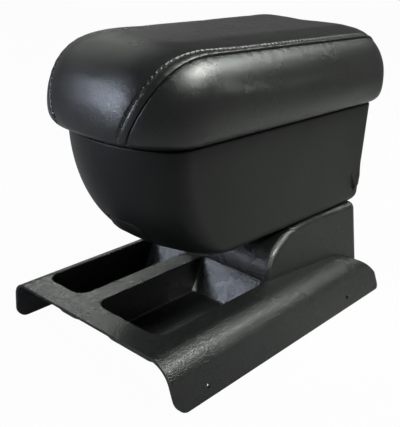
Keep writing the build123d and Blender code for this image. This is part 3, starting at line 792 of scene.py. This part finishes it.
divide_where(lid_cover, near_band)
divide_where(lid_cover, near_lines)
points, normals = read_points(lid_cover), read_normals(lid_cover)
away, band = band_place(points, normals)
upper = smooth_step(points[:, 2], FOLD_FOOT, FOLD_FULL)
lift = upper * fold_profile(away, band, points[:, 1] + points[:, 2])
write_points(lid_cover, points + normals * lift[:, None])
from_stitch = away + band
alone(lid_cover)
bpy.ops.object.shade_smooth()
lid_cover.data.materials.clear()
lid_cover.data.materials.append(lid_vinyl)
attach(lid_cover, "lid")
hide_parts("lid_cover_centre", "lid_cover_left", "lid_cover_right", "lid_foam")
print("lid cover", len(lid_cover.data.polygons), "faces")

# %% [markdown]
# ## Topstitching
# The stitches are what the eye looks for on such a lid. They could be a texture, but real threads
# catch the light, so one small thread is modelled and laid along the line where the distance to
# the seam is the width of the band. Each stitch also draws the cover in, as a short dimple.

# %% Find the stitch line
LINE_FOOT = LID_BOTTOM + 9 * MM
LINE_WINDOW = 9


def stitch_line(piece, side, apart):
    """Points and normals where the cover is stitched on one side, from front to rear."""
    points, normals = read_points(piece), read_normals(piece)
    edges = np.empty(len(piece.data.edges) * 2, dtype=int)
    piece.data.edges.foreach_get("vertices", edges)
    a, b = edges.reshape(-1, 2).T
    cross = (apart[a] * apart[b] < 0) & (points[a, 0] * side > 0) & (points[a, 2] > LINE_FOOT)
    a, b = a[cross], b[cross]
    share = (apart[a] / (apart[a] - apart[b]))[:, None]
    places = points[a] + (points[b] - points[a]) * share
    facing = normals[a] + (normals[b] - normals[a]) * share
    turn = np.arctan2(places[:, 2] - (LID_BOTTOM + LID_TOP) / 2, -places[:, 1])
    turn = np.where(turn < -math.pi / 2, turn + 2 * math.pi, turn)
    order = np.argsort(turn)
    return places[order], facing[order]


def even_steps(places, facing, pitch):
    """Evenly spaced points along an unevenly sampled line, with directions and normals."""
    kernel = np.ones(LINE_WINDOW) / LINE_WINDOW
    smooth = np.column_stack([np.convolve(column, kernel, "valid") for column in places.T])
    normal = np.column_stack([np.convolve(column, kernel, "valid") for column in facing.T])
    run = np.concatenate([[0], np.cumsum(np.linalg.norm(np.diff(smooth, axis=0), axis=1))])
    at = np.arange(pitch / 2, run[-1], pitch)
    spots = np.column_stack([np.interp(at, run, column) for column in smooth.T])
    ups = np.column_stack([np.interp(at, run, column) for column in normal.T])
    ups /= np.linalg.norm(ups, axis=1, keepdims=True)
    ways = np.gradient(spots, axis=0)
    ways -= ups * np.sum(ways * ups, axis=1, keepdims=True)
    ways /= np.linalg.norm(ways, axis=1, keepdims=True)
    return spots, ways, ups


print("stitches start", round((LINE_FOOT - LID_BOTTOM) / MM), "mm above the lid's underside")

# %% Dimples under the stitches
DIMPLE_DEPTH, DIMPLE_LONG, DIMPLE_WIDE = 1.3 * MM, 2.1 * MM, 1.1 * MM
DIMPLE_REACH = 3 * DIMPLE_WIDE


def press_dimples(piece, spots, ways, ups, apart):
    """Draws the cover in under every stitch."""
    points = read_points(piece)
    close = np.flatnonzero(np.abs(apart) * MM < DIMPLE_REACH)
    gaps = points[close][:, None, :] - spots[None, :, :]
    nearest = np.argmin(np.sum(gaps**2, axis=2), axis=1)
    gap = gaps[np.arange(len(close)), nearest]
    along = np.sum(gap * ways[nearest], axis=1)
    over = np.sum(gap * ups[nearest], axis=1)
    across = np.sqrt(np.maximum(0, np.sum(gap**2, axis=1) - along**2 - over**2))
    depth = DIMPLE_DEPTH * np.exp(-((along / DIMPLE_LONG) ** 4) - (across / DIMPLE_WIDE) ** 2)
    points[close] -= ups[nearest] * depth[:, None]
    write_points(piece, points)


print("dimples", round(DIMPLE_DEPTH / MM, 1), "mm deep")

# %% Lay the stitches
STITCH_PITCH, STITCH_LENGTH, STITCH_RADIUS = 5.6 * MM, 3.9 * MM, 0.55 * MM
STITCH_FLATNESS, STITCH_SINK = 0.8, 0.35 * MM

bpy.ops.object.select_all(action="DESELECT")
bpy.ops.mesh.primitive_uv_sphere_add(segments=6, ring_count=5, radius=1)
stitches = bpy.context.object
stitches.name = "lid_stitches"
one = read_points(stitches)
one = one * (STITCH_RADIUS, STITCH_RADIUS * STITCH_FLATNESS, STITCH_LENGTH / 2)
one_faces = [list(face.vertices) for face in stitches.data.polygons]
all_points, all_faces = [], []
for side in (-1, 1):
    spots, ways, ups = even_steps(*stitch_line(lid_cover, side, from_stitch), STITCH_PITCH)
    press_dimples(lid_cover, spots, ways, ups, from_stitch)
    for spot, way, up in zip(spots - ups * STITCH_SINK, ways, ups):
        first = len(all_points) * len(one)
        axes = np.column_stack([np.cross(up, way), up, way])
        all_points.append(spot + one @ axes.T)
        all_faces += [[first + index for index in face] for face in one_faces]
stitches.data.clear_geometry()
stitches.data.from_pydata(np.vstack(all_points).tolist(), [], all_faces)
alone(stitches)
bpy.ops.object.mode_set(mode="EDIT")
bpy.ops.mesh.select_all(action="SELECT")
bpy.ops.mesh.normals_make_consistent(inside=False)
bpy.ops.object.mode_set(mode="OBJECT")
bpy.ops.object.shade_smooth()
stitches.data.materials.append(thread)
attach(stitches, "lid")
print("stitches", len(all_points))
